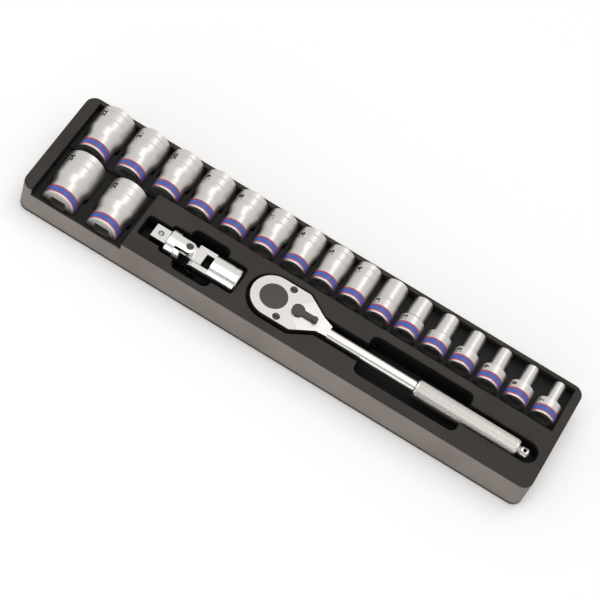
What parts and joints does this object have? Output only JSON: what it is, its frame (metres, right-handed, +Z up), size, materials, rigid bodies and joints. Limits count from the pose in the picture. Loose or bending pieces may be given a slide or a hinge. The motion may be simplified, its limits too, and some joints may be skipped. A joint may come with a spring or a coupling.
{
  "type": "socket wrench set in tray",
  "caption": "Socket wrench set: chromed hexagon sockets, a reversible ratchet and a universal joint lying in the fitted pockets of an open moulded plastic tray.",
  "frame": {"origin": "middle of the tray's underside", "axes": "+X along the tray towards the ratchet's grip, +Y towards the long row of sockets, +Z up out of the tray"},
  "size_m": [0.4606, 0.1066, 0.0425],
  "materials": {
    "tray_plastic": "finely grained moulded plastic",
    "socket_chrome": "bright chrome with painted bands at the drive end",
    "ratchet_chrome": "satin chrome on forged steel",
    "joint_chrome": "bright chrome",
    "dark_steel": "blackened steel",
    "spring_steel": "plain steel"
  },
  "bodies": {
    "tray": {"tray": "tray_plastic"},
    "socket_07": {"socket_07": "socket_chrome"},
    "socket_08": {"socket_08": "socket_chrome"},
    "socket_09": {"socket_09": "socket_chrome"},
    "socket_10": {"socket_10": "socket_chrome"},
    "socket_11": {"socket_11": "socket_chrome"},
    "socket_12": {"socket_12": "socket_chrome"},
    "socket_13": {"socket_13": "socket_chrome"},
    "socket_14": {"socket_14": "socket_chrome"},
    "socket_15": {"socket_15": "socket_chrome"},
    "socket_16": {"socket_16": "socket_chrome"},
    "socket_17": {"socket_17": "socket_chrome"},
    "socket_18": {"socket_18": "socket_chrome"},
    "socket_19": {"socket_19": "socket_chrome"},
    "socket_20": {"socket_20": "socket_chrome"},
    "socket_21": {"socket_21": "socket_chrome"},
    "socket_22": {"socket_22": "socket_chrome"},
    "socket_23": {"socket_23": "socket_chrome"},
    "socket_24": {"socket_24": "socket_chrome"},
    "ratchet": {"ratchet_body": "ratchet_chrome", "cover_plate": "ratchet_chrome", "cover_screws": "dark_steel", "pawl_plunger": "spring_steel", "pawl_spring": "spring_steel"},
    "drive": {"drive_gear": "dark_steel", "drive_ball_spring": "spring_steel"},
    "drive_ball": {"drive_ball": "spring_steel"},
    "lever": {"direction_lever": "dark_steel"},
    "pawl": {"pawl": "dark_steel"},
    "joint_socket": {"joint_socket_yoke": "joint_chrome", "joint_socket_pin": "dark_steel"},
    "joint_block": {"joint_block": "joint_chrome"},
    "joint_drive": {"joint_drive_yoke": "joint_chrome", "joint_drive_pin": "dark_steel", "joint_ball_spring": "spring_steel"},
    "joint_ball": {"joint_ball": "spring_steel"}
  },
  "joints": [
    {"name": "socket_07_lift", "type": "slide", "parent": "tray", "child": "socket_07", "axis": [0, 0, 1], "range_m": [0, 0.06]},
    {"name": "socket_08_lift", "type": "slide", "parent": "tray", "child": "socket_08", "axis": [0, 0, 1], "range_m": [0, 0.06]},
    {"name": "socket_09_lift", "type": "slide", "parent": "tray", "child": "socket_09", "axis": [0, 0, 1], "range_m": [0, 0.06]},
    {"name": "socket_10_lift", "type": "slide", "parent": "tray", "child": "socket_10", "axis": [0, 0, 1], "range_m": [0, 0.06]},
    {"name": "socket_11_lift", "type": "slide", "parent": "tray", "child": "socket_11", "axis": [0, 0, 1], "range_m": [0, 0.06]},
    {"name": "socket_12_lift", "type": "slide", "parent": "tray", "child": "socket_12", "axis": [0, 0, 1], "range_m": [0, 0.06]},
    {"name": "socket_13_lift", "type": "slide", "parent": "tray", "child": "socket_13", "axis": [0, 0, 1], "range_m": [0, 0.06]},
    {"name": "socket_14_lift", "type": "slide", "parent": "tray", "child": "socket_14", "axis": [0, 0, 1], "range_m": [0, 0.06]},
    {"name": "socket_15_lift", "type": "slide", "parent": "tray", "child": "socket_15", "axis": [0, 0, 1], "range_m": [0, 0.06]},
    {"name": "socket_16_lift", "type": "slide", "parent": "tray", "child": "socket_16", "axis": [0, 0, 1], "range_m": [0, 0.06]},
    {"name": "socket_17_lift", "type": "slide", "parent": "tray", "child": "socket_17", "axis": [0, 0, 1], "range_m": [0, 0.06]},
    {"name": "socket_18_lift", "type": "slide", "parent": "tray", "child": "socket_18", "axis": [0, 0, 1], "range_m": [0, 0.06]},
    {"name": "socket_19_lift", "type": "slide", "parent": "tray", "child": "socket_19", "axis": [0, 0, 1], "range_m": [0, 0.06]},
    {"name": "socket_20_lift", "type": "slide", "parent": "tray", "child": "socket_20", "axis": [0, 0, 1], "range_m": [0, 0.06]},
    {"name": "socket_21_lift", "type": "slide", "parent": "tray", "child": "socket_21", "axis": [0, 0, 1], "range_m": [0, 0.06]},
    {"name": "socket_22_lift", "type": "slide", "parent": "tray", "child": "socket_22", "axis": [0, 0, 1], "range_m": [0, 0.06]},
    {"name": "socket_23_lift", "type": "slide", "parent": "tray", "child": "socket_23", "axis": [0, 0, 1], "range_m": [0, 0.06]},
    {"name": "socket_24_lift", "type": "slide", "parent": "tray", "child": "socket_24", "axis": [0, 0, 1], "range_m": [0, 0.06]},
    {"name": "ratchet_lift", "type": "slide", "parent": "tray", "child": "ratchet", "axis": [0, 0, 1], "range_m": [0, 0.08]},
    {"name": "drive_spin", "type": "hinge", "parent": "ratchet", "child": "drive", "pos_m": [-0.0156, -0.0231, 0.02], "axis": [0, 0, 1], "continuous": true},
    {"name": "drive_ball_press", "type": "slide", "parent": "drive", "child": "drive_ball", "axis": [0, 1, 0], "range_m": [0, 0.0008], "stiffness_N_per_m": 2500},
    {"name": "lever_turn", "type": "hinge", "parent": "ratchet", "child": "lever", "pos_m": [0.0066, -0.0231, 0.02], "axis": [0, 0, 1], "range_deg": [-20, 20]},
    {"name": "pawl_rock", "type": "hinge", "parent": "ratchet", "child": "pawl", "pos_m": [0.0066, -0.0231, 0.02], "axis": [0, 0, 1], "range_deg": [-4.5, 4.5]},
    {"name": "joint_lift", "type": "slide", "parent": "tray", "child": "joint_socket", "axis": [0, 0, 1], "range_m": [0, 0.08]},
    {"name": "joint_bend", "type": "hinge", "parent": "joint_socket", "child": "joint_block", "pos_m": [-0.0828, -0.02625, 0.027], "axis": [0, 1, 0], "range_deg": [0, 35]},
    {"name": "joint_swing", "type": "hinge", "parent": "joint_block", "child": "joint_drive", "pos_m": [-0.0913, -0.02625, 0.027], "axis": [0, 0, 1], "range_deg": [-5, 5]},
    {"name": "joint_ball_press", "type": "slide", "parent": "joint_drive", "child": "joint_ball", "axis": [0, 0, -1], "range_m": [0, 0.0008], "stiffness_N_per_m": 2500, "deforming": ["joint_ball_spring"]}
  ],
  "couplings": [
    {"joint": "pawl_rock", "follows": "lever_turn", "ratio": -0.22}
  ]
}
